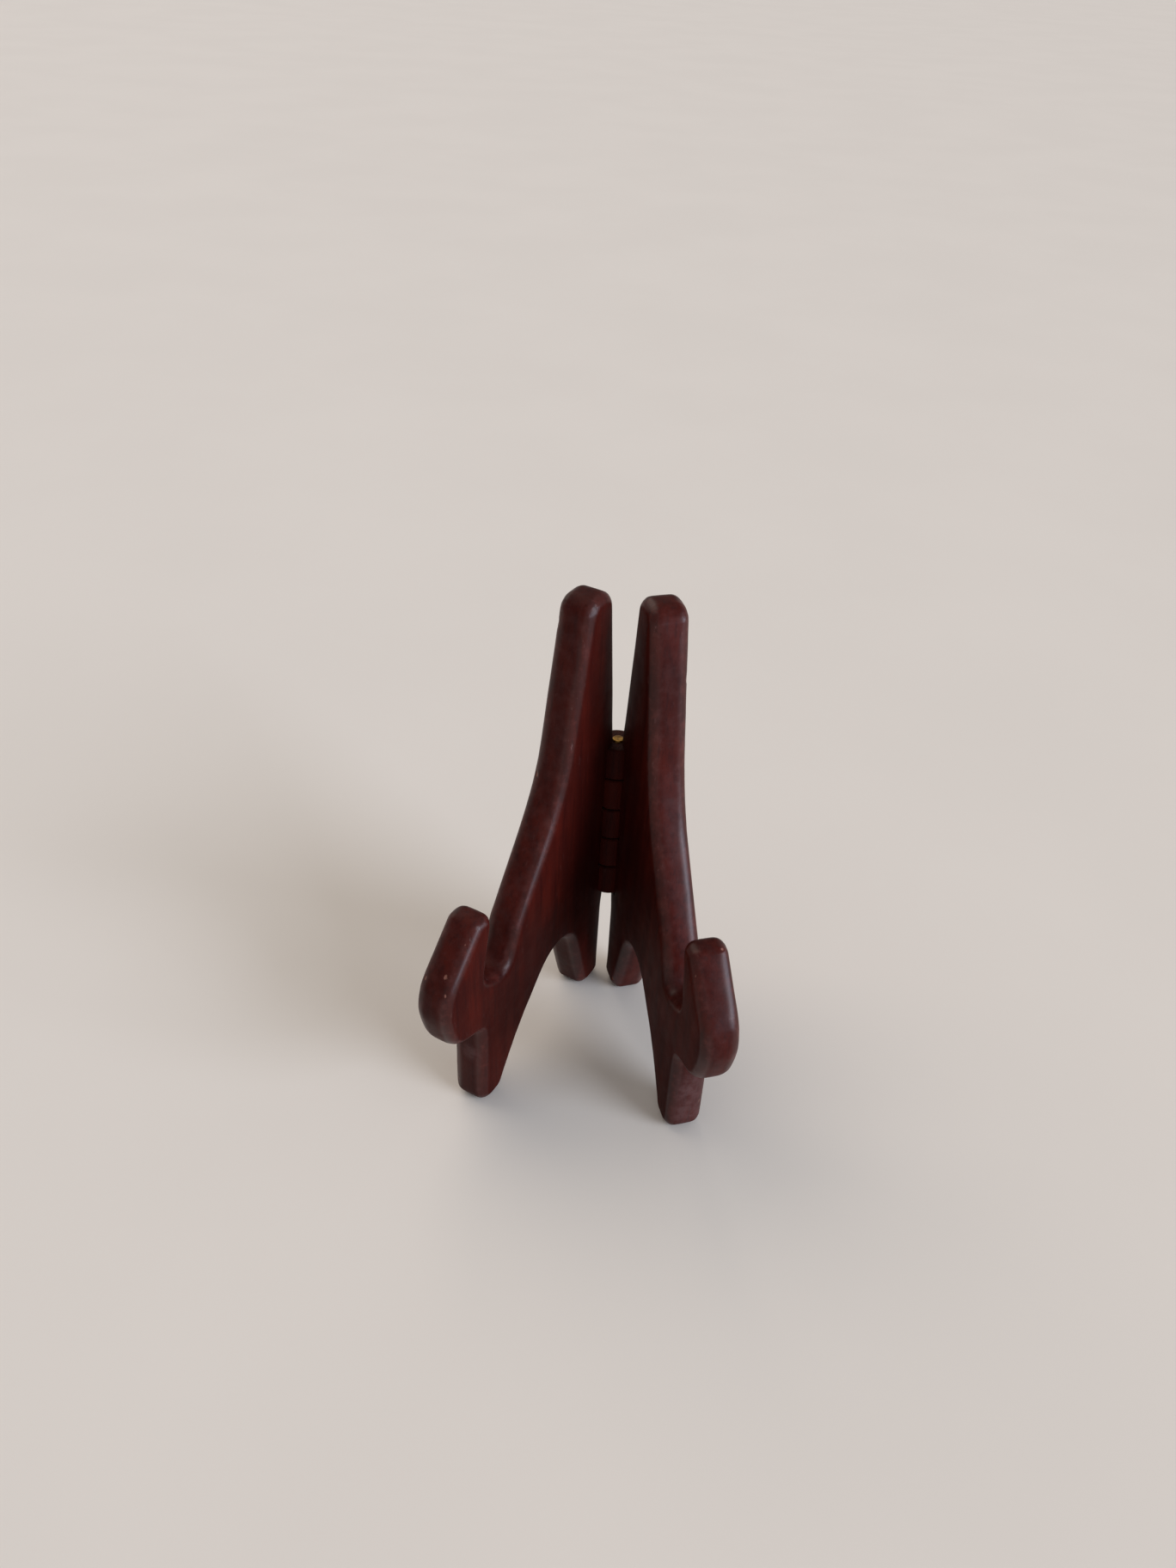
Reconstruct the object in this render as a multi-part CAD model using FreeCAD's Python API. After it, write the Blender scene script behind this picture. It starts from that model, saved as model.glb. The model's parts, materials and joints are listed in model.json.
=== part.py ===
import FreeCAD, Part
import math
import os

# A small folding wooden stand that holds one plate or dish upright.
#
# Two boards, each cut from one flat piece of wood, stand in a V that opens towards the plate.
# Each board has a hook for the plate's rim, a front foot, a rear foot and a tall upright that the
# plate leans on. At the back the boards are cut into knuckles that pass between each other, and
# one metal pin runs down through all of them, so the stand folds shut like a book.
#
# Frame: millimetres, +Z up, the table at Z = 0, the hooks towards -Y. The origin is the middle of
# the space that the open stand takes up on the table.
#
# A board is drawn by "forward", the distance from the hinge pin's axis along the board, and by
# height above the table.

# ---------------------------------------------------------------- driving dimensions (mm, degrees)

open_angle = 45.0             # between the two boards as the stand is used
board_thickness = 10.0
edge_radius = 3.0             # long edges of the boards, rounded over on both faces
closed_gap = 0.5              # between the inner faces when the stand is folded shut
rear_edge_gap = 0.4           # rear edge of each board, in front of the pin's axis

stand_height = 126.0          # top of the uprights
leg_reach = 60.4              # pin's axis to the front face of the front leg

front_foot_length = 8.6
front_foot_radius = 4.0
rear_foot_length = 9.6
rear_foot_radius = 3.8

flank_bend_back = 17.2        # where the back of the front leg bends, behind the leg's front face
flank_bend_height = 13.4
flank_bend_radius = 34.0
arch_corner_forward = 21.2    # the arch's rounded top, given by the corner that it rounds off
arch_corner_height = 37.0
arch_radius = 9.0

hook_underside_height = 28.2  # where the hook's underside meets the front leg
hook_underside_radius = 2.0
hook_chin_overhang = 11.4     # lower front corner of the hook, in front of the leg
hook_chin_height = 31.8
hook_chin_radius = 10.0
hook_overhang = 16.1          # foremost corner of the hook, in front of the leg
hook_nose_height = 48.4
hook_nose_radius = 14.0

lip_top_height = 64.7
lip_top_overhang = 0.6        # front corner of the lip's narrow top, in front of the leg
lip_top_length = 6.6
lip_radius = 3.2

seat_front_back = 2.2         # where the seat meets the lip, behind the leg's front face
seat_front_height = 44.2
seat_length = 9.6             # room for the plate's rim, from the lip to the upright
seat_slope = 22.0             # the seat falls towards the back, square to the leaning plate
seat_front_radius = 3.4
seat_rear_radius = 3.0

shoulder_rise = 10.0          # the upright follows the plate this far above the seat
shoulder_radius = 14.0
waist_forward = 25.5          # the upright's front edge curves in behind the plate
waist_height = 79.0
waist_radius = 60.0

tip_forward = 10.4            # middle of the upright's rounded top
tip_length = 10.6
tip_radius = 4.9

knuckle_count = 5             # odd, so that one board has both end knuckles
knuckle_radius = 5.0
knuckle_gap = 0.3             # along the pin, between neighbouring knuckles
knuckle_end_radius = 0.8
hinge_bottom = 33.0
hinge_length = 48.0
shoulder_above_hinge = 6.0    # where the upright's rear edge starts to lean, above the hinge
slot_clearance = 0.8          # between a knuckle and the bottom of the slot that it turns in

pin_radius = 1.5
pin_proud = 0.4               # the pin stands out of the end knuckles by this much
pin_chamfer = 0.3
pin_running_clearance = 0.05  # radial, in the right board's knuckles; pressed into the left's

# ---------------------------------------------------------------- sizes that follow from these

half_angle = open_angle / 2.0
inner_face = closed_gap / 2.0
knuckle_pitch = hinge_length / knuckle_count
slot_depth = knuckle_radius + slot_clearance
hinge_top = hinge_bottom + hinge_length
rounding = min(edge_radius, 0.45 * board_thickness)


def board_corners():
    """Corners of a board's outline as (forward, height, rounding), counter-clockwise."""
    seat_front = leg_reach - seat_front_back
    seat_run = seat_length * math.cos(math.radians(seat_slope))
    seat_fall = seat_length * math.sin(math.radians(seat_slope))
    seat_rear = seat_front - seat_run
    seat_rear_height = seat_front_height - seat_fall

    # The plate's back is the straight line from the seat to the upright's tip.
    tip_front = tip_forward + tip_length / 2.0
    plate_rise = stand_height - tip_radius - seat_rear_height
    plate_lean = (seat_rear - tip_front) / plate_rise
    shoulder_forward = seat_rear - shoulder_rise * plate_lean

    lip_top_front = leg_reach + lip_top_overhang
    lip_top_rear = lip_top_front - lip_top_length

    front_leg = [
        (leg_reach - front_foot_length, 0.0, front_foot_radius),
        (leg_reach, 0.0, front_foot_radius),
        (leg_reach, hook_underside_height, hook_underside_radius),
    ]
    hook = [
        (leg_reach + hook_chin_overhang, hook_chin_height, hook_chin_radius),
        (leg_reach + hook_overhang, hook_nose_height, hook_nose_radius),
        (lip_top_front, lip_top_height, lip_radius),
        (lip_top_rear, lip_top_height, lip_radius),
    ]
    seat = [
        (seat_front, seat_front_height, seat_front_radius),
        (seat_rear, seat_rear_height, seat_rear_radius),
    ]
    upright = [
        (shoulder_forward, seat_rear_height + shoulder_rise, shoulder_radius),
        (waist_forward, waist_height, waist_radius),
        (tip_front, stand_height, tip_radius),
        (tip_forward - tip_length / 2.0, stand_height, tip_radius),
        (rear_edge_gap, hinge_top + shoulder_above_hinge, waist_radius),
    ]
    rear_leg_and_arch = [
        (rear_edge_gap, 0.0, rear_foot_radius),
        (rear_edge_gap + rear_foot_length, 0.0, rear_foot_radius),
        (arch_corner_forward, arch_corner_height, arch_radius),
        (leg_reach - flank_bend_back, flank_bend_height, flank_bend_radius),
    ]
    return front_leg + hook + seat + upright + rear_leg_and_arch


def rounded_outline(corners, plane_x):
    """Closed wire in the plane X = plane_x, with an arc tangent to both sides at each corner."""
    points = []
    for forward, height, radius in corners:
        points.append(FreeCAD.Vector(plane_x, -forward, height))

    arcs = []
    for i, (forward, height, radius) in enumerate(corners):
        corner = points[i]
        to_last = (points[i - 1] - corner).normalize()
        to_next = (points[(i + 1) % len(points)] - corner).normalize()
        half = to_last.getAngle(to_next) / 2.0
        inward = (to_last + to_next).normalize()
        tangent_length = radius / math.tan(half)
        arc_start = corner + to_last * tangent_length
        arc_end = corner + to_next * tangent_length
        arc_middle = corner + inward * (radius / math.sin(half) - radius)
        arcs.append((arc_start, arc_middle, arc_end))

    edges = []
    for i, (arc_start, arc_middle, arc_end) in enumerate(arcs):
        last_end = arcs[i - 1][2]
        edges.append(Part.LineSegment(last_end, arc_start).toShape())
        edges.append(Part.Arc(arc_start, arc_middle, arc_end).toShape())
    return Part.Wire(edges)


def plain_board(side):
    """The sawn and rounded-over board, before the hinge is cut; side is +1 right, -1 left."""
    outline = rounded_outline(board_corners(), side * inner_face)
    board = Part.Face(outline).extrude(FreeCAD.Vector(side * board_thickness, 0, 0))
    long_edges = []
    for face in board.Faces:
        if abs(face.normalAt(0, 0).x) > 0.99:
            long_edges.extend(face.Edges)
    return board.makeFillet(rounding, long_edges)


def knuckle_span(index):
    """Bottom and top of the space along the pin that a knuckle has, without its gaps."""
    bottom = hinge_bottom + index * knuckle_pitch
    return bottom, bottom + knuckle_pitch


def knuckle(index):
    bottom, top = knuckle_span(index)
    bottom += knuckle_gap / 2.0
    top -= knuckle_gap / 2.0
    barrel = Part.makeCylinder(knuckle_radius, top - bottom, FreeCAD.Vector(0, 0, bottom))
    ends = [edge for edge in barrel.Edges if edge.Closed]
    return barrel.makeFillet(knuckle_end_radius, ends)


def knuckle_slot(index):
    """The slot right through a board in which the other board's knuckle turns."""
    bottom, top = knuckle_span(index)
    bottom -= knuckle_gap / 2.0
    top += knuckle_gap / 2.0
    width = 2.0 * (board_thickness + closed_gap)
    length = 2.0 * slot_depth
    corner = FreeCAD.Vector(-width / 2.0, -slot_depth, bottom)
    return Part.makeBox(width, length, top - bottom, corner)


def pin_bore(radius):
    length = hinge_length + 2.0 * knuckle_radius
    bottom = hinge_bottom - knuckle_radius
    return Part.makeCylinder(radius, length, FreeCAD.Vector(0, 0, bottom))


def hinged_board(side, own_knuckles, bore_radius):
    """A whole board, shut against the plane X = 0, with its knuckles on the Z axis."""
    board = plain_board(side)
    for index in range(knuckle_count):
        if index in own_knuckles:
            board = board.fuse(knuckle(index))
        else:
            board = board.cut(knuckle_slot(index))
    board = board.cut(pin_bore(bore_radius))
    return board.removeSplitter()


def hinge_pin():
    length = hinge_length + 2.0 * pin_proud
    bottom = FreeCAD.Vector(0, 0, hinge_bottom - pin_proud)
    pin = Part.makeCylinder(pin_radius, length, bottom)
    ends = [edge for edge in pin.Edges if edge.Closed]
    return pin.makeChamfer(pin_chamfer, ends)


def opened(shape, angle):
    turned = shape.copy()
    turned.rotate(FreeCAD.Vector(0, 0, 0), FreeCAD.Vector(0, 0, 1), angle)
    return turned


# ---------------------------------------------------------------- the three pieces

left_knuckles = range(0, knuckle_count, 2)
right_knuckles = range(1, knuckle_count, 2)

left_board = hinged_board(-1, left_knuckles, pin_radius)
right_board = hinged_board(+1, right_knuckles, pin_radius + pin_running_clearance)

pieces = {
    "left_board": opened(left_board, -half_angle),
    "right_board": opened(right_board, half_angle),
    "hinge_pin": hinge_pin(),
}

# The open stand is centred front to back over the origin.
space = Part.makeCompound(list(pieces.values())).optimalBoundingBox(False, False)
to_centre = FreeCAD.Vector(0, -(space.YMin + space.YMax) / 2.0, 0)

os.makedirs("parts", exist_ok=True)
for name, shape in pieces.items():
    placed = shape.copy()
    placed.translate(to_centre)
    placed.exportStep("parts/" + name + ".step")
    print(name, "volume", round(placed.Volume), "mm3, valid", placed.isValid(), "solids", len(placed.Solids))

print("hinge pin's axis at Y =", round(to_centre.y, 4))
print("space taken", round(space.XLength, 2), "x", round(space.YLength, 2), "x", round(space.ZLength, 2))
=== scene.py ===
# %% [markdown]
# # A folding wooden stand for one plate
#
# The stand is two flat boards of hardwood, sawn to one outline, rounded over on both faces,
# stained a dark red-brown and given a satin lacquer. At the back the boards are cut into
# knuckles that pass between each other, and a brass pin runs down through them.
#
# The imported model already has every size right, so it is loaded first and never moved. What
# this lesson adds is the surface: the small unevenness that hand sanding leaves, the knocks
# and rubbed places of a stand that has been used, and the wood, the lacquer and the brass.

import functools
import json
import math

import bmesh
import bpy
from mathutils import Matrix, Vector, noise


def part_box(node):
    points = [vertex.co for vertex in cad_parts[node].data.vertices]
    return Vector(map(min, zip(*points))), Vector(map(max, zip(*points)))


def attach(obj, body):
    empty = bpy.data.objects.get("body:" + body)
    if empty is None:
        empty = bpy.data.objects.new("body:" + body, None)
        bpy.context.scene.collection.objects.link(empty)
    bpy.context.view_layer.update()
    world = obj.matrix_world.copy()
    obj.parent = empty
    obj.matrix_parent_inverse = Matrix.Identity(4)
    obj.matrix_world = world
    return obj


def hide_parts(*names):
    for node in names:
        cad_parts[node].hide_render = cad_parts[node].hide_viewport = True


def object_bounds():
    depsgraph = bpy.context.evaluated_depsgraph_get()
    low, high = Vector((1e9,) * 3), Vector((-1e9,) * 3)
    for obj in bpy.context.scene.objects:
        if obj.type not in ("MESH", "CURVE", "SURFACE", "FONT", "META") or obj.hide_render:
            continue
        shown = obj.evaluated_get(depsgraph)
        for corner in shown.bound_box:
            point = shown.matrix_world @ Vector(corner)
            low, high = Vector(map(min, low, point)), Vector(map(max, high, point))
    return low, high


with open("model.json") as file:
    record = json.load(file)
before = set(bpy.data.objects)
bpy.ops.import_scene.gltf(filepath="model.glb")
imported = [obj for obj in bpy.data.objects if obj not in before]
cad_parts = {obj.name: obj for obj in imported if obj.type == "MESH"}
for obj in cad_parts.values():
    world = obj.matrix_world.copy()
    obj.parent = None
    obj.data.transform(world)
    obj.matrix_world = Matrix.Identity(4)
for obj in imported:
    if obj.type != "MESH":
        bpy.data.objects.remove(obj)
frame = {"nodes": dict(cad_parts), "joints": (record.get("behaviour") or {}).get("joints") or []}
cad_low, cad_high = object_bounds()

MM = 0.001
size_mm = [round(side / MM, 1) for side in cad_high - cad_low]
print("pieces:", sorted(frame["nodes"]), "space taken in mm:", size_mm)

# %% [markdown]
# ## Where the boards are
#
# A board is easiest to work on when it is shut flat against the plane X = 0, with its outline
# lying along Y and Z. The joint in the frame says where the pin stands and how far the boards
# are open, so one matrix takes a shut board to its open place, and its inverse takes it back.
# The finished mesh is left in its open place, and the object itself stays at the origin.

# %% Find the hinge
fold = frame["joints"][0]
pin_axis = Vector((fold["pos_m"][0], fold["pos_m"][1], 0.0))
half_opening = math.radians(-fold["range_deg"][0]) / 2.0

pin_low, pin_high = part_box("hinge_pin")
pin_radius = (pin_high.x - pin_low.x) / 2.0
board_half_angle = {"left_board": -half_opening, "right_board": half_opening}


def opened(board_name):
    """The matrix that swings a shut board out to where it stands."""
    swing = Matrix.Rotation(board_half_angle[board_name], 4, "Z")
    return Matrix.Translation(pin_axis) @ swing


print("pin at", [round(c / MM, 2) for c in pin_axis], "opening", round(math.degrees(2 * half_opening), 1))

# %% [markdown]
# ## A mesh that can be sanded
#
# The frame's mesh is loose triangles, long and thin on the flat faces, and nothing can be
# dented where there are no points. A copy is merged, its flat faces are dissolved to single
# faces, and then bisect planes cut it into an even grid, as a sheet of squared paper laid on
# the board. The outline does not change at all, because the cuts only add points on it.

# %% Copy a board and cut it into a grid
GRID_STEP = 1.6 * MM
SNAP = 0.03 * MM
SAME_POINT = 0.002 * MM
FLAT_ENOUGH = math.radians(0.4)


def merged_copy(board_name):
    """A copy of a board's own mesh, shut against X = 0, with whole flat faces."""
    board = bmesh.new()
    board.from_mesh(frame["nodes"][board_name].data)
    bmesh.ops.transform(board, matrix=opened(board_name).inverted(), verts=board.verts)
    bmesh.ops.remove_doubles(board, verts=board.verts, dist=SAME_POINT)
    bmesh.ops.dissolve_limit(board, angle_limit=FLAT_ENOUGH, verts=board.verts, edges=board.edges)
    return board


def cut_into_grid(board, axis):
    """Cuts all the way across the board at even steps along one axis."""
    across = Vector((0.0, 0.0, 0.0))
    across[axis] = 1.0
    start = min(v.co[axis] for v in board.verts)
    end = max(v.co[axis] for v in board.verts)
    cuts = int((end - start) / GRID_STEP)
    for cut in range(1, cuts + 1):
        everything = board.verts[:] + board.edges[:] + board.faces[:]
        place = across * (start + cut * (end - start) / (cuts + 1))
        bmesh.ops.bisect_plane(board, geom=everything, dist=SNAP, plane_co=place, plane_no=across)


boards = {}
for board_name in board_half_angle:
    boards[board_name] = merged_copy(board_name)
    cut_into_grid(boards[board_name], axis=1)
    cut_into_grid(boards[board_name], axis=2)
    print(board_name, "faces after the cuts:", len(boards[board_name].faces))

# %% [markdown]
# ## What hand sanding leaves
#
# A small shop rounds these arrises with a router and finishes them by hand, so the radius
# swells and shrinks along the edge and the flats are very slightly wavy. A gloss shows this
# long before the eye can measure it. Every point moves a little way into the wood, never out
# of it, by a smooth noise. Nothing moves at the hinge, where the boards have to pass each
# other, or under the feet, where they stand on the table. Two values are kept on the points
# for the finish: arris is 1 half way round a rounded arris, and edge is 1 on the sawn outline.
# Both fade to 0 at the hinge.

# %% Sand the boards by hand
FLAT_WAVE = 0.10 * MM
FLAT_WAVE_LENGTH = 26 * MM
ARRIS_WAVE = 0.32 * MM
ARRIS_WAVE_LENGTH = 13 * MM
HINGE_REACH = 8 * MM
FOOT_FLAT = 0.1 * MM
FADE = 8 * MM
FOOT_FADE = 1.2 * MM
# The noise is read this far apart, so that no two of its uses look alike.
BOARD_SEED = 7.7
ARRIS_SEED = 5.3


def smooth_step(value):
    value = min(1.0, max(0.0, value))
    return value * value * (3.0 - 2.0 * value)


def away_from_hinge(point):
    """0 in the wood that holds the hinge, rising to 1 a few millimetres away."""
    distance = max(-point.y - HINGE_REACH, pin_low.z - point.z, point.z - pin_high.z)
    return smooth_step(distance / FADE)


def free_to_move(point):
    """How far a point may be moved: not at all at the hinge and on the soles."""
    return away_from_hinge(point) * smooth_step((point.z - FOOT_FLAT) / FOOT_FADE)


def arris_share(normal):
    """1 half way round a rounded arris, 0 on the flat faces and on the sawn outline."""
    sideways = normal.x * normal.x
    return 4.0 * sideways * (1.0 - sideways)


def edge_share(normal):
    """1 on the sawn outline, falling to 0 on the flat faces."""
    return 1.0 - normal.x * normal.x


def wave(point, length, seed):
    """Smooth noise from 0 to 1, with hollows about one length apart."""
    return 0.5 + 0.5 * noise.noise(point / length + Vector((seed, 2.0 * seed, 0.0)))


def sand_by_hand(board, seed):
    """Moves each free point a little way into the wood, and keeps what the finish will need."""
    board.normal_update()
    arris = board.verts.layers.float.new("arris")
    edge = board.verts.layers.float.new("edge")
    moves = []
    for v in board.verts:
        share = arris_share(v.normal)
        v[arris] = share * away_from_hinge(v.co)
        v[edge] = edge_share(v.normal) * away_from_hinge(v.co)
        depth = FLAT_WAVE * wave(v.co, FLAT_WAVE_LENGTH, seed)
        depth += ARRIS_WAVE * share * wave(v.co, ARRIS_WAVE_LENGTH, seed + ARRIS_SEED)
        moves.append(v.normal * (-depth * free_to_move(v.co)))
    for v, move in zip(board.verts, moves):
        v.co += move
    return max(move.length for move in moves)


for seed, board_name in enumerate(boards, start=1):
    deepest = sand_by_hand(boards[board_name], BOARD_SEED * seed)
    print(board_name, "deepest sanding in mm:", round(deepest / MM, 3))

# %% [markdown]
# A router leaves an arris as one exact quarter of a circle, with a faint line on each side
# where it meets the flats. A few strokes of soft sandpaper take that line away, and draw the
# hooks and the feet together into one soft form. Smoothing the points does the same: each one
# moves part of the way to the middle of its neighbours, and keeps only a part of that. Most of
# the movement is along the surface, and takes nothing off.

# %% Soften the arrises
STROKES = 26
PRESSURE = 0.5
SOFTENED = 0.85


def soften(board):
    """Rounds the board's free edges further, and answers how far a point slid at most."""
    before = {v: v.co.copy() for v in board.verts}
    loose = [v for v in board.verts if free_to_move(v.co) > 0.0]
    for stroke in range(STROKES):
        bmesh.ops.smooth_vert(
            board, verts=loose, factor=PRESSURE, use_axis_x=True, use_axis_y=True, use_axis_z=True,
        )
    for v in loose:
        v.co = before[v].lerp(v.co, SOFTENED * free_to_move(before[v]))
    board.normal_update()
    return max((v.co - before[v]).length for v in loose)


for board_name, board in boards.items():
    print(board_name, "furthest that a point slid in mm:", round(soften(board) / MM, 3))

# %% [markdown]
# ## Knocks and nicks
#
# Stained wood shows its age at the arrises: each knock crushes the wood a fraction of a
# millimetre and breaks the dark film, so the pale wood under it shows. The places are chosen
# on the hooks, which are knocked each time a plate is set down, and on the feet.
# Each knock first gets finer faces around it, and then a shallow hollow with a ragged rim. A
# value called nick is kept on the points, and the wood's finish reads it later.

# %% Knock the arrises
# Forward from the pin, across from the inner plane, height, width and depth, all in mm.
knocks = {
    "left_board": [
        (70.6, 3.6, 54.6, 1.2, 0.16),
        (64.8, 2.3, 60.8, 0.8, 0.08),
        (72.6, 2.4, 51.4, 0.8, 0.08),
        (71.5, 9.0, 52.7, 1.0, 0.14),
        (59.8, 9.3, 6.0, 1.2, 0.20),
        (9.0, 9.5, 5.5, 1.5, 0.24),
        (15.6, 9.5, 119.0, 1.6, 0.26),
        (5.2, 1.2, 108.0, 1.2, 0.18),
        (26.0, 9.5, 82.0, 1.3, 0.20),
        (1.6, 9.4, 21.0, 1.4, 0.22),
    ],
    "right_board": [
        (60.8, 8.0, 64.0, 1.1, 0.12),
        (64.6, 0.8, 60.0, 0.8, 0.08),
        (60.2, 9.3, 9.0, 1.1, 0.16),
        (4.8, 1.2, 123.5, 1.5, 0.24),
        (17.0, 9.5, 108.5, 1.3, 0.20),
        (2.4, 9.4, 97.0, 1.4, 0.22),
        (8.8, 1.2, 4.5, 1.3, 0.20),
        (47.5, 9.4, 31.0, 1.3, 0.20),
    ],
}
FINER_CUTS = 2
RAGGED_LENGTH = 0.7 * MM
# A hollow's rim wanders between 0.25 and 1.25 of its width.
RIM, RIM_WANDERS = 0.75, 0.5
# A splinter tears further along the grain than across it.
ALONG_THE_GRAIN = 0.6


def knock(board, nick, centre, width, depth):
    """Crushes a small hollow into the wood around the point nearest to the centre."""
    struck = min(board.verts, key=lambda v: (v.co - centre).length_squared)
    centre, inward = struck.co.copy(), -struck.normal.copy()
    near = [e for e in board.edges if min((v.co - centre).length for v in e.verts) < width]
    bmesh.ops.subdivide_edges(board, edges=near, cuts=FINER_CUTS, use_grid_fill=True)
    board.normal_update()
    for v in board.verts:
        ragged = RIM + RIM_WANDERS * noise.noise(v.co / RAGGED_LENGTH)
        offset = v.co - centre
        offset.z *= ALONG_THE_GRAIN
        hollow = smooth_step(1.0 - offset.length / (width * ragged))
        if hollow > 0.0:
            v.co += inward * (depth * hollow)
            v[nick] = max(v[nick], hollow)


def knock_all(board_name):
    """Knocks a board in each of its places, which mirror with the side that it is on."""
    board = boards[board_name]
    side = math.copysign(1.0, board_half_angle[board_name])
    nick = board.verts.layers.float.new("nick")
    for forward, across, height, width, depth in knocks[board_name]:
        centre = Vector((side * across, -forward, height)) * MM
        knock(board, nick, centre, width * MM, depth * MM)


for board_name in boards:
    knock_all(board_name)
    print(board_name, "knocks:", len(knocks[board_name]), "faces:", len(boards[board_name].faces))

# %% [markdown]
# ## Dull patches with a painted sheen
#
# On the front of a foot under the hook, and under the hook's chin, the colour is lightened to
# a painted grey sheen, which stands for the light that these faces mirror, and the film there
# is made rougher and less shiny. Each patch is a centre and a reach, and its value fades from
# 1 to 0 over that reach. It is kept only on the edges, not on the flat faces.

# %% Mark the dull patches and their painted sheen
# Forward, across and height of the centre, and the reach, all in mm.
# Each patch lightens the colour to a painted grey sheen, and makes the film rougher and less shiny.
dull_sheen_patches = {
    "left_board": [(60.4, 4.5, 19.0, 4.0)],
    "right_board": [(60.4, 5.8, 8.0, 9.0), (60.4, 6.4, 16.0, 9.0), (70.6, 7.6, 34.0, 5.0)],
}
# Above 1, so that the middle of a patch is at its full strength.
FULL_INSIDE = 1.3
HALF_DULL_SHEEN = 0.5


def mark_dull_sheen(board_name):
    """Keeps the dull value, with its painted sheen, on a board's points, and counts those at half or more.
    """
    board = boards[board_name]
    edge = board.verts.layers.float["edge"]
    dull_and_sheen = board.verts.layers.float.new("dull_and_sheen")
    side = math.copysign(1.0, board_half_angle[board_name])
    for forward, across, height, reach in dull_sheen_patches[board_name]:
        centre = Vector((side * across, -forward, height)) * MM
        for v in board.verts:
            near = smooth_step(FULL_INSIDE * (1.0 - (v.co - centre).length / (reach * MM)))
            v[dull_and_sheen] = max(v[dull_and_sheen], near * v[edge])
    return sum(1 for v in board.verts if v[dull_and_sheen] > HALF_DULL_SHEEN)


for board_name in boards:
    print(board_name, "dull points:", mark_dull_sheen(board_name))

# %% [markdown]
# ## One function for colours and one for nodes
#
# A maker's colour card is in sRGB, as hex values, and the shader works in linear light, so
# one function turns the one into the other. A second function adds any node at all, with its
# settings and with a value or a link for each of its sockets. Some nodes can work on several
# types of data and keep the sockets of the other types switched off, so it looks only among
# the sockets in use, and answers with the output that is read next.

# %% Colours and nodes


def linear(hex_colour):
    """An sRGB hex value such as "#5a2a20" as a linear colour with alpha."""
    channels = [int(hex_colour[i:i + 2], 16) / 255.0 for i in (1, 3, 5)]
    return [c / 12.92 if c <= 0.04045 else ((c + 0.055) / 1.055) ** 2.4 for c in channels] + [1.0]


def add_node(tree, kind, sockets=(), read=None, **settings):
    """Adds a node. Sockets go by name, or by number where the names are all the same."""
    made = tree.nodes.new(kind)
    for name, value in settings.items():
        setattr(made, name, value)
    in_use = [socket for socket in made.inputs if socket.enabled]
    for key, value in dict(sockets).items():
        socket = in_use[key] if isinstance(key, int) else next(s for s in in_use if s.name == key)
        if isinstance(value, bpy.types.NodeSocket):
            tree.links.new(value, socket)
        else:
            socket.default_value = value
    return next((s for s in made.outputs if s.enabled and read in (None, s.name)), None)


def new_material(name):
    """An empty material, and add_node made ready for its tree."""
    material = bpy.data.materials.new(name)
    material.use_nodes = True
    material.node_tree.nodes.clear()
    return material, functools.partial(add_node, material.node_tree)


MIX_COLOURS = {"data_type": "RGBA"}
SOFT_ENDS = {"interpolation_type": "SMOOTHSTEP"}
# One Wave band is 2 pi / 20 across at a scale of 1.
WAVE_PERIOD_AT_SCALE_1 = 2.0 * math.pi / 20.0

print("a stain's hex #5a2a20 in linear light:", [round(c, 4) for c in linear("#5a2a20")])

# %% [markdown]
# ## The wood
#
# The stand is beech, a close-grained wood with no large pores, which shops of this kind stain
# to pass for rosewood. The stain is wiped on, so it lies darker in the soft early wood and in
# the end grain and leaves cloudy places, and thin coats of satin lacquer go over it. The flat
# faces stay matt and deep maroon. Hands polish the rounded edges, so only they have the last
# coat's shine, and a window lays a milky band along them.
#
# The grain is a real solid pattern: noise drawn out along the height, so that it shows as
# streaks on the faces and as small spots on the tops and feet. A Mapping node turns it square
# to each board, and shifts it, because no two boards come from one spot in the plank. The
# colour is then built as a painter would, in layers: each has a share, which says where it
# lies and how strongly, and a colour.

# %% Real sizes and colours of the finish
STREAK_WIDTH = 1.1 * MM
RING_SPACING = 3.2 * MM
# The real flecks are 0.1 mm wide and 1 to 2 mm long. They are drawn wider, so that they show.
FLECK_WIDTH = 0.42 * MM
SPLINTER_WIDTH = 2.0 * FLECK_WIDTH
CLOUD_SPACING = 17 * MM
RUB_SPACING = 2.6 * MM
SCUFF_SPACING = 1.4 * MM
MATT_SPACING = 5 * MM
LACQUER_DIMPLE = 0.55 * MM
SUNK_GRAIN_DEPTH = 0.03 * MM
DIMPLE_DEPTH = 0.012 * MM
# A pattern is read at this share of the real height, which draws it out along the grain.
DRAWN_OUT = {"grain": 0.07, "flecks": 0.09, "scuffs": 0.35}

DEEP_STAIN = linear("#340b06")
OPEN_STAIN = linear("#400f08")
DARK_STREAK = linear("#230504")
RUBBED_STAIN = linear("#52201a")
SCUFFED_LACQUER = linear("#7c5d5a")
# A painted grey sheen: it stands for the light that the fronts and edges mirror.
PAINTED_SHEEN_COLOUR = linear("#5e4746")
BARE_BEECH = linear("#96685a")

print("deep stain in linear light:", [round(c, 4) for c in DEEP_STAIN])

# %% [markdown]
# The patterns come first. All but the rings are plain noise, and only its spacing, its detail
# and how far it is drawn out make it a streak, a fleck, a cloud or a scuff. The rings are a
# Wave texture that is strongly bent. The values kept on the points are read here too.

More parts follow.
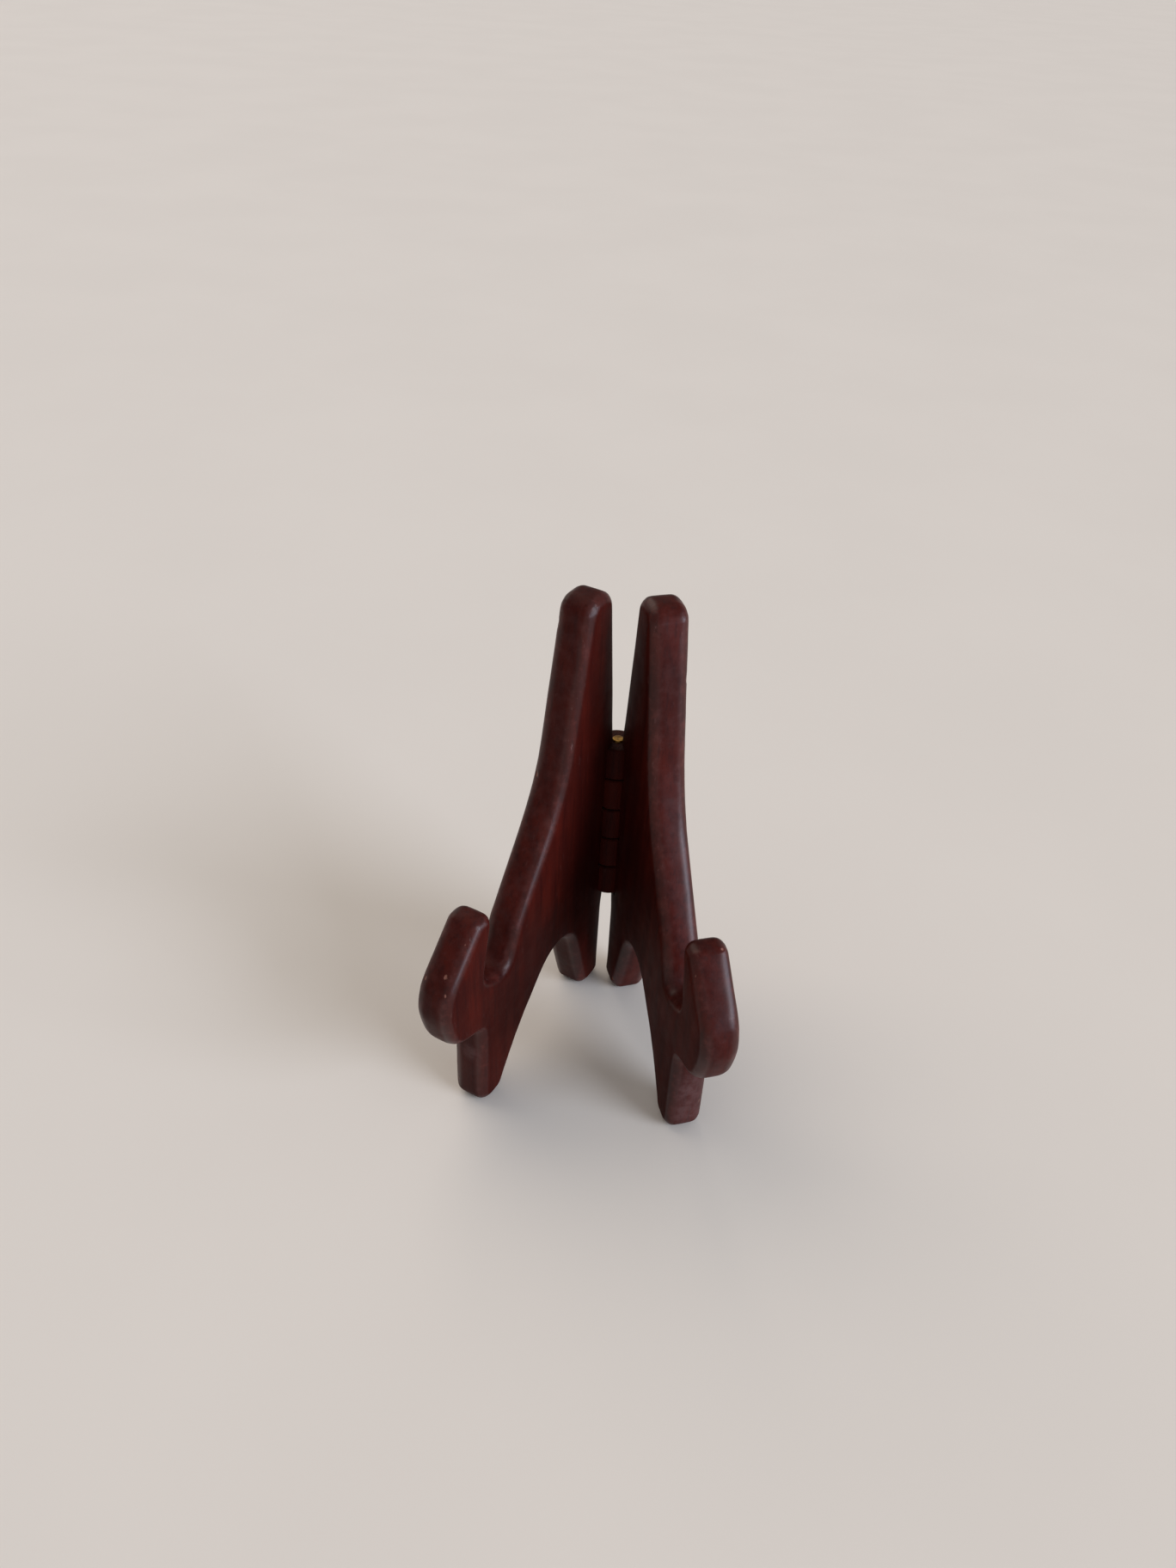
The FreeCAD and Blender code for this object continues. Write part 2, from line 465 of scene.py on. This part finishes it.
# %% The wood's patterns
# Where a pattern is read, how far apart its blotches are, its detail and its roughness.
PATTERNS = {
    "clouds": ("square", CLOUD_SPACING, 4.0, 0.55),
    "streaks": ("grain", STREAK_WIDTH, 5.0, 0.55),
    "flecks": ("flecks", FLECK_WIDTH, 2.0, 0.55),
    "rubbing": ("square", RUB_SPACING, 4.0, 0.70),
    "scuffs": ("scuffs", SCUFF_SPACING, 6.0, 0.75),
    "splinters": ("flecks", SPLINTER_WIDTH, 4.0, 0.70),
    "matt": ("square", MATT_SPACING, 5.0, 0.55),
    "dimples": ("square", LACQUER_DIMPLE, 2.0, 0.55),
}


def wood_patterns(node, turn, shift):
    """Every value that the finish is made from, by name."""
    here = node("ShaderNodeTexCoord", read="Object")
    square = node("ShaderNodeMapping", {"Vector": here, "Rotation": (0, 0, -turn), "Location": shift})
    places = {"square": square}
    for use, height_share in DRAWN_OUT.items():
        places[use] = node("ShaderNodeMapping", {"Vector": square, "Scale": (1.0, 1.0, height_share)})

    seen = {}
    for layer in ("arris", "edge", "nick", "dull_and_sheen"):
        seen[layer] = node("ShaderNodeAttribute", read="Fac", attribute_name=layer)
    for use, (place, spacing, detail, rough) in PATTERNS.items():
        seen[use] = node("ShaderNodeTexNoise", {
            "Vector": places[place], "Scale": 1.0 / spacing, "Detail": detail, "Roughness": rough,
        }, read="Fac")
    seen["rings"] = node("ShaderNodeTexWave", {
        "Vector": places["grain"], "Scale": WAVE_PERIOD_AT_SCALE_1 / RING_SPACING,
        "Distortion": 7.0, "Detail": 3.0, "Detail Scale": 0.35, "Detail Roughness": 0.6,
    }, read="Fac", bands_direction="DIAGONAL")
    seen["torn"] = node("ShaderNodeMath", {0: seen["nick"], 1: seen["splinters"]}, operation="MULTIPLY")
    return seen


print("patterns:", len(PATTERNS), "drawn out:", {use: round(1.0 / h) for use, h in DRAWN_OUT.items()})

# %% [markdown]
# Next comes how strongly each pattern shows. A Map Range node with soft ends takes the part of
# a value that counts and stretches it between two shares, and some shares are then kept to
# where they belong: rubbed stain to the arrises, a painted grey sheen to the edges and to the
# dull patches, and most of the scuffs to the arrises.

# %% How strongly each pattern shows
# The value that is read, from where to where, and the share at each end.
SHARES = {
    "clouds": ("clouds", 0.36, 0.66, 0.0, 1.0),
    "rings": ("rings", 0.15, 0.95, 0.0, 0.30),
    "streaks": ("streaks", 0.46, 0.72, 0.0, 0.60),
    "flecks": ("flecks", 0.60, 0.72, 0.0, 0.35),
    "rubbing": ("rubbing", 0.47, 0.70, 0.0, 0.55),
    "scuffs": ("scuffs", 0.60, 0.74, 0.0, 1.0),
    "scuffed": ("arris", 0.0, 1.0, 0.10, 0.45),
    # Painted grey sheen on the edges and on the dull patches, standing for mirrored light.
    "edge_sheen": ("rubbing", 0.36, 0.72, 0.04, 0.13),
    "edge_sheen_place": ("edge", 0.10, 0.90, 0.0, 1.0),
    "dull_sheen": ("rubbing", 0.25, 0.65, 0.16, 0.48),
    "bare": ("torn", 0.20, 0.48, 0.0, 0.50),
    "matt": ("matt", 0.30, 0.70, 0.60, 0.72),
    "polish": ("edge", 0.05, 0.60, 0.0, 0.22),
    "shine": ("arris", 0.05, 0.60, 0.03, 0.44),
}


def wood_shares(node, seen):
    """The share of each layer of the finish, by name."""
    share = {}
    for use, (value, low, high, at_low, at_high) in SHARES.items():
        share[use] = node("ShaderNodeMapRange", {
            "Value": seen[value], "From Min": low, "From Max": high, "To Min": at_low, "To Max": at_high,
        }, **SOFT_ENDS)
    for use, where in (
        ("rubbing", seen["arris"]),
        ("scuffs", share["scuffed"]),
        # The painted grey sheen is kept to the edges and to the dull patches.
        ("edge_sheen", share["edge_sheen_place"]),
        ("dull_sheen", seen["dull_and_sheen"]),
    ):
        share[use] = node("ShaderNodeMath", {0: share[use], 1: where}, operation="MULTIPLY")
    return share


print("shares:", len(SHARES))

# %% [markdown]
# Last come the layers themselves. The colour is mixed from the wood up, and the same shares
# say where the film is rough, where it shines and where it has sunk into the grain.

# %% Stained beech with a satin lacquer
LAYERS = (
    ("clouds", OPEN_STAIN),
    ("rings", DARK_STREAK),
    ("streaks", DARK_STREAK),
    ("flecks", DARK_STREAK),
    ("rubbing", RUBBED_STAIN),
    ("scuffs", SCUFFED_LACQUER),
    # The next two layers are a painted grey sheen, standing for the light that the edges mirror.
    ("edge_sheen", PAINTED_SHEEN_COLOUR),
    ("dull_sheen", PAINTED_SHEEN_COLOUR),
    ("bare", BARE_BEECH),
)
# How much rougher than the film a layer is where it lies fully.
ROUGHER = (("scuffs", 0.25), ("bare", 0.40), ("dull_sheen", 0.35))
DULL_SHEEN_CUTS_SHINE = -1.2
FLECKS_SINK = -1.7


def stained_beech(name, turn, shift):
    material, node = new_material(name)
    seen = wood_patterns(node, turn, shift)
    share = wood_shares(node, seen)

    colour = DEEP_STAIN
    for use, layer in LAYERS:
        colour = node("ShaderNodeMix", {"Factor": share[use], "A": colour, "B": layer}, **MIX_COLOURS)

    roughness = node("ShaderNodeMath", {0: share["matt"], 1: share["polish"]}, operation="SUBTRACT")
    for use, rougher in ROUGHER:
        sockets = {0: share[use], 1: rougher, 2: roughness}
        roughness = node("ShaderNodeMath", sockets, operation="MULTIPLY_ADD")
    sockets = {0: share["dull_sheen"], 1: DULL_SHEEN_CUTS_SHINE, 2: share["shine"]}
    shine = node("ShaderNodeMath", sockets, operation="MULTIPLY_ADD")

    sockets = {0: share["flecks"], 1: FLECKS_SINK, 2: seen["streaks"]}
    grain = node("ShaderNodeMath", sockets, operation="MULTIPLY_ADD")
    sunk = node("ShaderNodeBump", {"Height": grain, "Distance": SUNK_GRAIN_DEPTH, "Strength": 0.5})
    film = node("ShaderNodeBump", {
        "Height": seen["dimples"], "Distance": DIMPLE_DEPTH, "Strength": 0.5, "Normal": sunk,
    })
    shader = node("ShaderNodeBsdfPrincipled", {
        "Base Color": colour, "Roughness": roughness, "Normal": film, "Specular IOR Level": 0.05,
        "Coat Weight": shine, "Coat Roughness": 0.33, "Coat IOR": 1.45, "Coat Normal": film,
    })
    node("ShaderNodeOutputMaterial", {"Surface": shader})
    return material


# The two boards come from different spots in the plank, given in metres.
stained_wood = {
    "left_board": stained_beech("stained_beech_left", -half_opening, (0.013, 0.031, 0.0)),
    "right_board": stained_beech("stained_beech_right", half_opening, (0.071, 0.054, 0.022)),
}
print("materials:", [m.name for m in stained_wood.values()])

# %% [markdown]
# ## The sawn slots
#
# The slots between the knuckles are cut with a narrow saw and never see the sandpaper. The
# stain soaks into the open cut and dries almost black and matt, and the saw's teeth leave
# fine marks across it. These faces get a second material, picked out by where they are.

# %% Sawn and stained end grain
SAW_MARK_SPACING = 0.9 * MM
SAW_MARK_DEPTH = 0.05 * MM
SAWN_FUR = 0.5 * MM
SCORCHED_SHARE = 0.35
SAWN_STAIN, SAWN_LIGHT, SAW_SCORCH = linear("#2a0e0a"), linear("#451c14"), linear("#1f0b08")


def sawn_beech(name, turn):
    material, node = new_material(name)
    here = node("ShaderNodeTexCoord", read="Object")
    square = node("ShaderNodeMapping", {"Vector": here, "Rotation": (0, 0, -turn)})
    marks = node("ShaderNodeTexWave", {
        "Vector": square, "Scale": WAVE_PERIOD_AT_SCALE_1 / SAW_MARK_SPACING,
        "Distortion": 2.5, "Detail": 2.0,
    }, read="Fac", bands_direction="X")
    fur = node("ShaderNodeTexNoise", {
        "Vector": square, "Scale": 1.0 / SAWN_FUR, "Detail": 5.0, "Roughness": 0.7,
    }, read="Fac")
    furry = node("ShaderNodeMapRange", {"Value": fur, "From Min": 0.35, "From Max": 0.70}, **SOFT_ENDS)
    scorched = node("ShaderNodeMath", {0: marks, 1: SCORCHED_SHARE}, operation="MULTIPLY")
    colour = node("ShaderNodeMix", {"Factor": furry, "A": SAWN_STAIN, "B": SAWN_LIGHT}, **MIX_COLOURS)
    colour = node("ShaderNodeMix", {"Factor": scorched, "A": colour, "B": SAW_SCORCH}, **MIX_COLOURS)
    roughness = node("ShaderNodeMapRange", {"Value": fur, "To Min": 0.60, "To Max": 0.90})
    depth = node("ShaderNodeMath", {0: marks, 1: fur}, operation="ADD")
    cut = node("ShaderNodeBump", {"Height": depth, "Distance": SAW_MARK_DEPTH, "Strength": 0.8})
    shader = node("ShaderNodeBsdfPrincipled", {
        "Base Color": colour, "Roughness": roughness, "Normal": cut, "Specular IOR Level": 0.15,
    })
    node("ShaderNodeOutputMaterial", {"Surface": shader})
    return material


SQUARE_TO = 0.9
# Further in front of the pin's axis than this, only a slot's bottom faces backwards.
SLOT_BOTTOM_FROM = 3.0 * pin_radius


def is_sawn(face):
    """True for the slots' faces and the knuckles' ends."""
    middle = face.calc_center_median()
    in_hinge = pin_low.z - MM < middle.z < pin_high.z + MM and -middle.y < HINGE_REACH
    level = abs(face.normal.z) > SQUARE_TO
    slot_bottom = face.normal.y > SQUARE_TO and -middle.y > SLOT_BOTTOM_FROM
    return in_hinge and (level or slot_bottom)


def pick_sawn_faces(board):
    """Gives the sawn faces the second material, and counts them."""
    for face in board.faces:
        face.material_index = int(is_sawn(face))
    return sum(face.material_index for face in board.faces)


sawn_wood = {}
for board_name, turn in board_half_angle.items():
    sawn_wood[board_name] = sawn_beech(board_name.replace("board", "slots") + "_sawn_beech", turn)
    print(board_name, "sawn faces:", pick_sawn_faces(boards[board_name]))

# %% [markdown]
# ## From bmesh to piece
#
# Each board is swung out to its open place, shaded smooth, and kept sharp only where the saw
# cuts meet the faces. It then stands for the frame's own board: it hides it, rides on the
# same half of the stand, and takes its two materials.

# %% Finish the two boards
SHARP_FROM = math.radians(38)
body_of_board = {"left_board": "left_half", "right_board": "right_half"}


def finish_piece(mesh_maker, name, body, node_name, materials):
    """Turns a bmesh into a finished piece that stands for one node of the frame."""
    mesh = bpy.data.meshes.new(name)
    mesh_maker.to_mesh(mesh)
    mesh_maker.free()
    if "custom_normal" in mesh.attributes:
        mesh.attributes.remove(mesh.attributes["custom_normal"])
    mesh.shade_smooth()
    mesh.set_sharp_from_angle(angle=SHARP_FROM)
    for material in materials:
        mesh.materials.append(material)
    piece = bpy.data.objects.new(name, mesh)
    bpy.context.scene.collection.objects.link(piece)
    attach(piece, body)
    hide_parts(node_name)
    mesh.calc_loop_triangles()
    print(name, "triangles:", len(mesh.loop_triangles), "rides on", body)
    return piece


pieces = []
for board_name, board in boards.items():
    bmesh.ops.transform(board, matrix=opened(board_name), verts=board.verts)
    pieces.append(finish_piece(
        board, "shaped_" + board_name, body_of_board[board_name], board_name,
        [stained_wood[board_name], sawn_wood[board_name]],
    ))

# %% [markdown]
# ## The pin
#
# The pin is a length of brass rod, cut off and touched on a grinding wheel so that it starts
# easily, and then driven in from above. Its ends stand a little proud. A cylinder is made,
# its two rims are bevelled round, and each end gets the small flat that the hammer leaves.

# %% Model the pin
PIN_SEGMENTS = 48
RIM_ROUNDING = 0.34 * MM
HAMMER_FLAT = 0.45 * MM
HAMMER_DENT = 0.05 * MM

pin = bmesh.new()
bmesh.ops.create_cone(
    pin, cap_ends=True, segments=PIN_SEGMENTS,
    radius1=pin_radius, radius2=pin_radius, depth=pin_high.z - pin_low.z,
)
to_hinge = Matrix.Translation(pin_axis + Vector((0.0, 0.0, (pin_low.z + pin_high.z) / 2.0)))
bmesh.ops.transform(pin, matrix=to_hinge, verts=pin.verts)
rims = [e for e in pin.edges if abs(e.verts[0].co.z - e.verts[1].co.z) < SNAP]
bmesh.ops.bevel(
    pin, geom=rims, offset=RIM_ROUNDING, affect="EDGES", segments=4, profile=0.5, material=-1,
)
pin.normal_update()
ends = [f for f in pin.faces if len(f.verts) == PIN_SEGMENTS]
bmesh.ops.inset_region(pin, faces=ends, thickness=HAMMER_FLAT, depth=-HAMMER_DENT)
print("pin's ends found:", len(ends), "faces:", len(pin.faces))

# %% [markdown]
# Brass that is never polished goes from yellow to a dull brown film, brightest where it was
# last rubbed. The wheel leaves fine marks round the rod, 0.1 mm apart, which are drawn 0.3 mm
# apart so that they show. A metal keeps its default IOR, and the film is what makes it rough.

# %% Dull drawn brass
WHEEL_MARK_SPACING = 0.3 * MM
WHEEL_MARK_DEPTH = 0.01 * MM
FILM_SPACING = 1.6 * MM
RUBBED_BRASS, BROWN_FILM = linear("#b08a45"), linear("#6d5230")


def dull_brass(name):
    material, node = new_material(name)
    here = node("ShaderNodeTexCoord", read="Object")
    centred = node("ShaderNodeMapping", {"Vector": here, "Location": -pin_axis})
    film = node("ShaderNodeTexNoise", {
        "Vector": centred, "Scale": 1.0 / FILM_SPACING, "Detail": 5.0, "Roughness": 0.65,
    }, read="Fac")
    marks = node("ShaderNodeTexWave", {
        "Vector": centred, "Scale": WAVE_PERIOD_AT_SCALE_1 / WHEEL_MARK_SPACING,
        "Distortion": 1.5, "Detail": 2.0,
    }, read="Fac", bands_direction="Z")
    filmed = node("ShaderNodeMapRange", {"Value": film, "From Min": 0.38, "From Max": 0.66}, **SOFT_ENDS)
    colour = node("ShaderNodeMix", {"Factor": filmed, "A": RUBBED_BRASS, "B": BROWN_FILM}, **MIX_COLOURS)
    shader = node("ShaderNodeBsdfPrincipled", {
        "Base Color": colour, "Metallic": 1.0,
        "Roughness": node("ShaderNodeMapRange", {"Value": film, "To Min": 0.20, "To Max": 0.60}),
        "Normal": node("ShaderNodeBump", {"Height": marks, "Distance": WHEEL_MARK_DEPTH, "Strength": 0.6}),
    })
    node("ShaderNodeOutputMaterial", {"Surface": shader})
    return material


brass = [dull_brass("dull_drawn_brass")]
pieces.append(finish_piece(pin, "brass_hinge_pin", "left_half", "hinge_pin", brass))

# %% [markdown]
# ## Floor, light and camera
#
# The stand is shown on a plain pale floor. A far window lights it from the right, cool white,
# and a weaker warm light comes from high behind on the left, with a pale even light from all
# round. A dark gloss is seen mostly by what it mirrors, so a long low lamp stands on the right
# as well. It lays a soft milky band on each rounded arris, and leaves the floor alone.

# %% Plain pale floor
FLOOR_HALF_SIZE = 9.0
MOTTLE_SPACING = 120 * MM

floor_maker = bmesh.new()
bmesh.ops.create_grid(floor_maker, x_segments=1, y_segments=1, size=FLOOR_HALF_SIZE)
floor_mesh = bpy.data.meshes.new("pale_floor")
floor_maker.to_mesh(floor_mesh)
floor_maker.free()
floor = bpy.data.objects.new("pale_floor", floor_mesh)
bpy.context.scene.collection.objects.link(floor)

floor_paint, node = new_material("matt_pale_board")
floor_here = node("ShaderNodeTexCoord", read="Object")
mottle = node("ShaderNodeTexNoise", {
    "Vector": floor_here, "Scale": 1.0 / MOTTLE_SPACING, "Detail": 4.0,
}, read="Fac")
mottled = node("ShaderNodeMapRange", {"Value": mottle, "From Min": 0.3, "From Max": 0.7}, **SOFT_ENDS)
floor_tone = node("ShaderNodeMix", {
    "Factor": mottled, "A": linear("#e6e2dd"), "B": linear("#e8e4df"),
}, **MIX_COLOURS)
floor_shader = node("ShaderNodeBsdfPrincipled", {
    "Base Color": floor_tone, "Roughness": 0.75, "Specular IOR Level": 0.25,
})
node("ShaderNodeOutputMaterial", {"Surface": floor_shader})
floor_mesh.materials.append(floor_paint)
print("floor's side in metres:", 2.0 * FLOOR_HALF_SIZE, "painted with", floor_paint.name)

# %% Soft studio light
stand_middle = (cad_low + cad_high) / 2.0

# A lamp near the stand would burn out the floor beside it, so it lights only what is in here.
stand_alone = bpy.data.collections.new("stand_alone")
for piece in pieces:
    stand_alone.objects.link(piece)


def soft_light(name, place, width, height, watts, hex_colour):
    """A lamp near the stand that lights the stand alone, with its place from the stand's middle."""
    lamp = bpy.data.lights.new(name, "AREA")
    lamp.shape, lamp.size, lamp.size_y = "RECTANGLE", width, height
    lamp.energy, lamp.color = watts, linear(hex_colour)[:3]
    holder = bpy.data.objects.new(name, lamp)
    holder.location = stand_middle + Vector(place)
    holder.rotation_mode = "QUATERNION"
    holder.rotation_quaternion = Vector(place).to_track_quat("Z", "Y")
    holder.light_linking.receiver_collection = stand_alone
    bpy.context.scene.collection.objects.link(holder)
    print(name, "at", [round(c, 2) for c in holder.location], "watts", watts)


def far_window(name, place, spread, strength, hex_colour):
    """A window so far away and so wide that it lights the whole floor evenly."""
    lamp = bpy.data.lights.new(name, "SUN")
    lamp.angle, lamp.energy, lamp.color = math.radians(spread), strength, linear(hex_colour)[:3]
    holder = bpy.data.objects.new(name, lamp)
    holder.location = Vector(place)
    holder.rotation_mode = "QUATERNION"
    holder.rotation_quaternion = Vector(place).to_track_quat("Z", "Y")
    bpy.context.scene.collection.objects.link(holder)
    print(name, "strength", strength)


far_window("window", place=(0.80, -0.35, 0.42), spread=34.0, strength=1.9, hex_colour="#edf3ff")
far_window("warm_window", place=(-0.60, 0.45, 0.80), spread=60.0, strength=1.1, hex_colour="#ffeedd")
soft_light(
    "near_window", place=(0.54, -0.20, 0.12), width=0.90, height=0.14, watts=3.6, hex_colour="#dfeaff",
)

room = bpy.data.worlds.new("pale_room")
room.use_nodes = True
room_light = room.node_tree.nodes["Background"].inputs
room_light["Color"].default_value = linear("#e9e6e4")
room_light["Strength"].default_value = 0.42
bpy.context.scene.world = room

# Plain sRGB keeps a dark saturated stain as deep as it is.
bpy.context.scene.view_settings.view_transform = "Standard"

# %% Camera
# The lens looks down at the hooks from a little to the right, 255 mm above the table. Right,
# in front of and above the foot of the pin, in metres, and then the camera's three turns.
camera_from_pin = Vector((0.01876, -0.25358, 0.2554))
LOOK_DOWN, LOOK_LEFT, TILT = math.radians(36.63), math.radians(5.80), math.radians(3.26)

lens = bpy.data.cameras.new("camera")
lens.sensor_width = 36.0
lens.lens = 28.0
lens.clip_start, lens.clip_end = 0.01, 50.0
camera = bpy.data.objects.new("camera", lens)
bpy.context.scene.collection.objects.link(camera)
camera_place = Matrix.Translation(pin_axis + camera_from_pin)
turned = Matrix.Rotation(LOOK_LEFT, 4, "Z") @ Matrix.Rotation(math.pi / 2.0 - LOOK_DOWN, 4, "X")
camera.matrix_world = camera_place @ turned @ Matrix.Rotation(TILT, 4, "Z")
bpy.context.scene.camera = camera
print("camera at", [round(c, 3) for c in camera.location])
